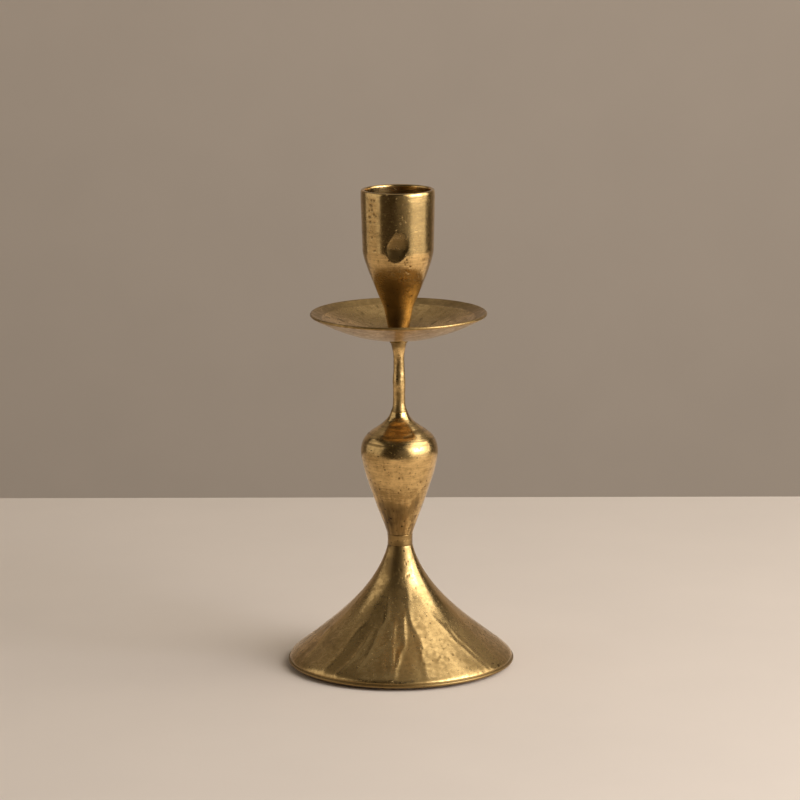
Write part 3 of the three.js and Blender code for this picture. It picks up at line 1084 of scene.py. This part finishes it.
class CANDLESTICK_OT_hardware(bpy.types.Operator):
    """Build the stud, nut and washers inside the foot"""

    bl_idname = "candlestick.hardware"
    bl_label = "Stud, nut and washers"

    def execute(self, context):
        steel = hardware_steel()
        shape = turned(stud_outline(), STUD_SIDES, STUD_SEAT, stud_relief)
        add_piece("threaded_stud", *shape, steel, "zinc_steel", "tie_stud")
        radius, height, seat = node_size("foot_washer")
        shape = turned(washer_outline(radius, STUD_HOLE, height, WASHER_EASE), ROD_SIDES, seat)
        add_piece("plain_washer", *shape, steel, "zinc_steel", "foot_washer")
        _, height, seat = node_size("lock_washer")
        shape = split_ring(STUD_HOLE, SPRING_WASHER_RADIUS, height, SPRING_WASHER_GAP, seat)
        add_piece("spring_washer", *shape, steel, "zinc_steel", "lock_washer")
        _, height, seat = node_size("foot_nut")
        shape = hexagon_nut(NUT_ACROSS_FLATS, height, STUD_HOLE, seat)
        add_piece("hexagon_nut", *shape, steel, "zinc_steel", "foot_nut")
        return {"FINISHED"}


def flat_panel(name, corners, material):
    """One flat rectangle of the stage."""
    mesh = bpy.data.meshes.new(name)
    mesh.from_pydata(corners, [], [[0, 1, 2, 3]])
    mesh.materials.append(material)
    panel = bpy.data.objects.new(name, mesh)
    bpy.context.scene.collection.objects.link(panel)
    return panel


def plain_surface(name, hex_colour, roughness):
    """A plain painted surface of the stage, very faintly clouded."""
    cloud_width = 60
    material, tree, shader = new_material(name)
    cloud = add_node(tree, NOISE, Vector=millimetres(tree), Scale=1 / cloud_width, Detail=4)["Fac"]
    pale = linear(hex_colour)
    dark = [0.93 * c for c in pale[:3]] + [1.0]
    colour = add_node(tree, MIX, {"data_type": "RGBA"}, Factor=cloud, at6=dark, at7=pale)[2]
    tree.links.new(colour, shader.inputs["Base Color"])
    shader.inputs["Roughness"].default_value = roughness
    return material


def softbox(name, azimuth, elevation, distance, width, height, radiance, colour):
    """A rectangular light that faces the candlestick. Its power is pi times area times radiance.

    Azimuth is in degrees from the camera's side towards +X, and elevation in degrees above level.
    """
    aim_height = 0.08
    light = bpy.data.lights.new(name, "AREA")
    light.shape = "RECTANGLE"
    light.size = width
    light.size_y = height
    light.energy = math.pi * width * height * radiance
    light.color = colour
    lamp = bpy.data.objects.new(name, light)
    a = math.radians(azimuth)
    e = math.radians(elevation)
    aim = np.array([0, 0, aim_height])
    lamp.location = aim + distance * np.array(
        [math.cos(e) * math.sin(a), -math.cos(e) * math.cos(a), math.sin(e)]
    )
    lamp.rotation_euler = (math.pi / 2 - e, 0, a)
    lamp.visible_camera = False
    bpy.context.scene.collection.objects.link(lamp)
    return lamp


class CANDLESTICK_OT_stage(bpy.types.Operator):
    """Build the table, wall, lights and camera"""

    bl_idname = "candlestick.stage"
    bl_label = "Stage"

    def execute(self, context):
        scene = context.scene
        table = plain_surface("pale_table", "#EDDDCB", 0.7)
        wall = plain_surface("plain_wall", "#E3D0BB", 0.9)
        # The table ends close in front, so polished brass mirrors the dark room past its edge.
        left = -1.6
        right = 0.5
        near = -0.3
        far_left = 0.294
        far_right = 0.249
        corners = [[left, near, 0], [right, near, 0], [right, far_right, 0], [left, far_left, 0]]
        flat_panel("table", corners, table)
        behind = 1.3
        half = 2
        low = -0.6
        high = 0.8
        corners = [[-half, behind, low], [half, behind, low], [half, behind, high], [-half, behind, high]]
        flat_panel("wall", corners, wall)
        daylight = (1.0, 0.97, 0.92)
        bounce = (1.0, 0.92, 0.8)
        softbox("window", 61, 24, 0.96, 0.6, 0.52, 5.4, (0.94, 0.97, 1.1))
        softbox("key", 69, 24, 1.0, 1.5, 1.0, 2.2, daylight)
        softbox("sill", 69, -16, 1.0, 1.1, 0.45, 0.62, daylight)
        softbox("top", 108, 62, 1.3, 0.9, 0.7, 1.2, daylight)
        softbox("ceiling", 180, 84, 1.7, 2.0, 2.0, 0.15, (1.0, 0.96, 0.9))
        softbox("back", 180, 46, 1.4, 2.4, 1.0, 0.19, (1.0, 0.89, 0.76))
        softbox("wide_bounce", 18, 4, 1.1, 0.9, 0.8, 0.08, bounce)
        softbox("near_bounce", 26, 4, 1.1, 0.45, 0.7, 0.08, bounce)
        softbox("fill", -87, 14, 1.1, 1.3, 1.2, 0.6, (1.0, 0.94, 0.86))
        world = bpy.data.worlds.new("studio")
        world.use_nodes = True
        world.node_tree.nodes["Background"].inputs[0].default_value = (0.034, 0.026, 0.016, 1)
        scene.world = world
        scene.view_settings.view_transform = "Standard"

        downward = 11.403
        roll = -0.4
        camera = bpy.data.cameras.new("camera")
        camera.sensor_width = 36
        camera.lens = 162
        viewer = bpy.data.objects.new("camera", camera)
        viewer.location = (0.0003, -1.2382, 0.3445)
        viewer.rotation_euler = (math.radians(90 - downward), 0, 0)
        viewer.rotation_euler.rotate_axis("Z", math.radians(roll))
        scene.collection.objects.link(viewer)
        scene.camera = viewer
        return {"FINISHED"}


class CANDLESTICK_PT_build(bpy.types.Panel):
    """Sidebar panel with the settings and one button for each group of pieces"""

    bl_idname = "CANDLESTICK_PT_build"
    bl_label = "Candlestick"
    bl_space_type = "VIEW_3D"
    bl_region_type = "UI"
    bl_category = "Candlestick"

    def draw(self, context):
        layout = self.layout
        for settings in (context.scene.candlestick_finish, context.scene.candlestick_relief):
            for name in settings.bl_rna.properties.keys():
                if name not in ("rna_type", "name"):
                    layout.prop(settings, name)
        for operator in OPERATORS:
            layout.operator(operator.bl_idname)


OPERATORS = (
    CANDLESTICK_OT_stage,
    CANDLESTICK_OT_foot,
    CANDLESTICK_OT_knop,
    CANDLESTICK_OT_stem,
    CANDLESTICK_OT_pan,
    CANDLESTICK_OT_cup,
    CANDLESTICK_OT_hardware,
)
CLASSES = (CandlestickFinish, CandlestickRelief, *OPERATORS, CANDLESTICK_PT_build)


def register():
    """Adds the classes and the scene's settings."""
    for item in CLASSES:
        bpy.utils.register_class(item)
    bpy.types.Scene.candlestick_finish = bpy.props.PointerProperty(type=CandlestickFinish)
    bpy.types.Scene.candlestick_relief = bpy.props.PointerProperty(type=CandlestickRelief)


def unregister():
    """Removes what register added."""
    del bpy.types.Scene.candlestick_relief
    del bpy.types.Scene.candlestick_finish
    for item in reversed(CLASSES):
        bpy.utils.unregister_class(item)


def main():
    register()
    bpy.ops.candlestick.stage()
    bpy.ops.candlestick.foot()
    bpy.ops.candlestick.knop()
    bpy.ops.candlestick.stem()
    bpy.ops.candlestick.pan()
    bpy.ops.candlestick.cup()
    bpy.ops.candlestick.hardware()


if __name__ == "__main__":
    main()
